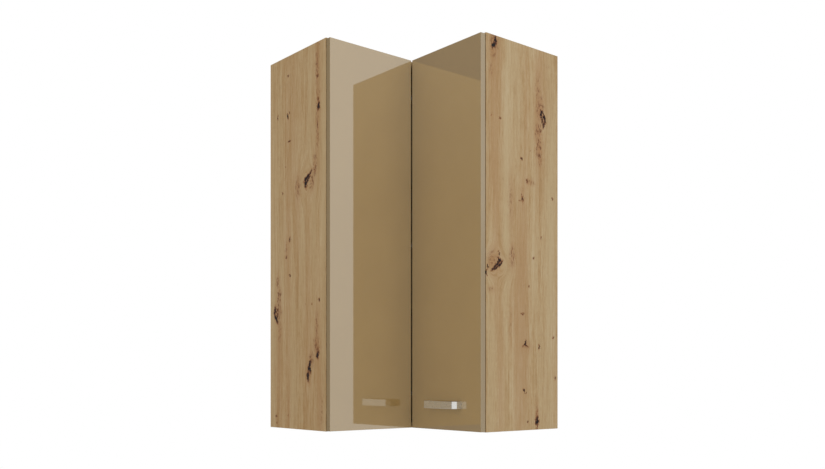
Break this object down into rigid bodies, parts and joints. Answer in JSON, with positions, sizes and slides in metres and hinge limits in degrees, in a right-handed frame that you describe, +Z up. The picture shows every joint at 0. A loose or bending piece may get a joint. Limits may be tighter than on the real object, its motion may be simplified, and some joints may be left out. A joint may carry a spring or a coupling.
{
  "type": "corner wall cabinet",
  "caption": "L-shaped corner wall cabinet, oak-look carcass with shelves and a hinged pair of gloss doors that fold on each other.",
  "frame": {"origin": "corner of the room, where the two walls meet, at the height of the cabinet's underside", "axes": "+Z up; the left wing hangs on the wall x = 0 and reaches towards -Y, the right wing hangs on the wall y = 0 and reaches towards +X"},
  "size_m": [0.6, 0.6, 1.08],
  "materials": {
    "oak_board": "matt oak-look board with knots",
    "back_sheet": "thin lacquered fibreboard",
    "gloss_front": "high-gloss warm beige front on fibreboard",
    "handle_metal": "satin chrome",
    "fitting_steel": "zinc plated",
    "hinge_steel": "nickel plated",
    "white_plastic": "moulded",
    "bumper_rubber": "soft clear grey"
  },
  "bodies": {
    "carcass": {"bottom_board": "oak_board", "top_board": "oak_board", "left_side_panel": "oak_board", "right_side_panel": "oak_board", "corner_post": "oak_board", "shelf_1": "oak_board", "shelf_2": "oak_board", "left_back_panel": "back_sheet", "right_back_panel": "back_sheet", "left_hanger_hook": "fitting_steel", "right_hanger_hook": "fitting_steel", "left_wall_rail": "fitting_steel", "right_wall_rail": "fitting_steel", "shelf_1_support_1": "fitting_steel", "shelf_1_support_2": "fitting_steel", "shelf_1_support_3": "fitting_steel", "shelf_1_support_4": "fitting_steel", "shelf_1_support_5": "fitting_steel", "shelf_1_support_6": "fitting_steel", "shelf_2_support_1": "fitting_steel", "shelf_2_support_2": "fitting_steel", "shelf_2_support_3": "fitting_steel", "shelf_2_support_4": "fitting_steel", "shelf_2_support_5": "fitting_steel", "shelf_2_support_6": "fitting_steel", "swing_hinge_1_plate": "hinge_steel", "swing_hinge_1_arm": "hinge_steel", "swing_hinge_2_plate": "hinge_steel", "swing_hinge_2_arm": "hinge_steel", "swing_hinge_3_plate": "hinge_steel", "swing_hinge_3_arm": "hinge_steel", "left_hanger": "white_plastic", "right_hanger": "white_plastic", "door_bumper_1": "bumper_rubber", "door_bumper_2": "bumper_rubber"},
    "left_door": {"left_door": "gloss_front", "swing_hinge_1_cup": "hinge_steel", "swing_hinge_1_pin": "hinge_steel", "swing_hinge_2_cup": "hinge_steel", "swing_hinge_2_pin": "hinge_steel", "swing_hinge_3_cup": "hinge_steel", "swing_hinge_3_pin": "hinge_steel", "fold_hinge_1_plate": "hinge_steel", "fold_hinge_1_arm": "hinge_steel", "fold_hinge_2_plate": "hinge_steel", "fold_hinge_2_arm": "hinge_steel", "fold_hinge_3_plate": "hinge_steel", "fold_hinge_3_arm": "hinge_steel"},
    "right_door": {"right_door": "gloss_front", "handle": "handle_metal", "handle_screw_1": "fitting_steel", "handle_screw_2": "fitting_steel", "fold_hinge_1_cup": "hinge_steel", "fold_hinge_1_pin": "hinge_steel", "fold_hinge_2_cup": "hinge_steel", "fold_hinge_2_pin": "hinge_steel", "fold_hinge_3_cup": "hinge_steel", "fold_hinge_3_pin": "hinge_steel"}
  },
  "joints": [
    {"name": "left_door_swing", "type": "hinge", "parent": "carcass", "child": "left_door", "pos_m": [0.302, -0.59325, 0.5385], "axis": [0, 0, -1], "range_deg": [0, 105]},
    {"name": "right_door_fold", "type": "hinge", "parent": "left_door", "child": "right_door", "pos_m": [0.31675, -0.302, 0.5385], "axis": [0, 0, -1], "range_deg": [0, 60]}
  ]
}
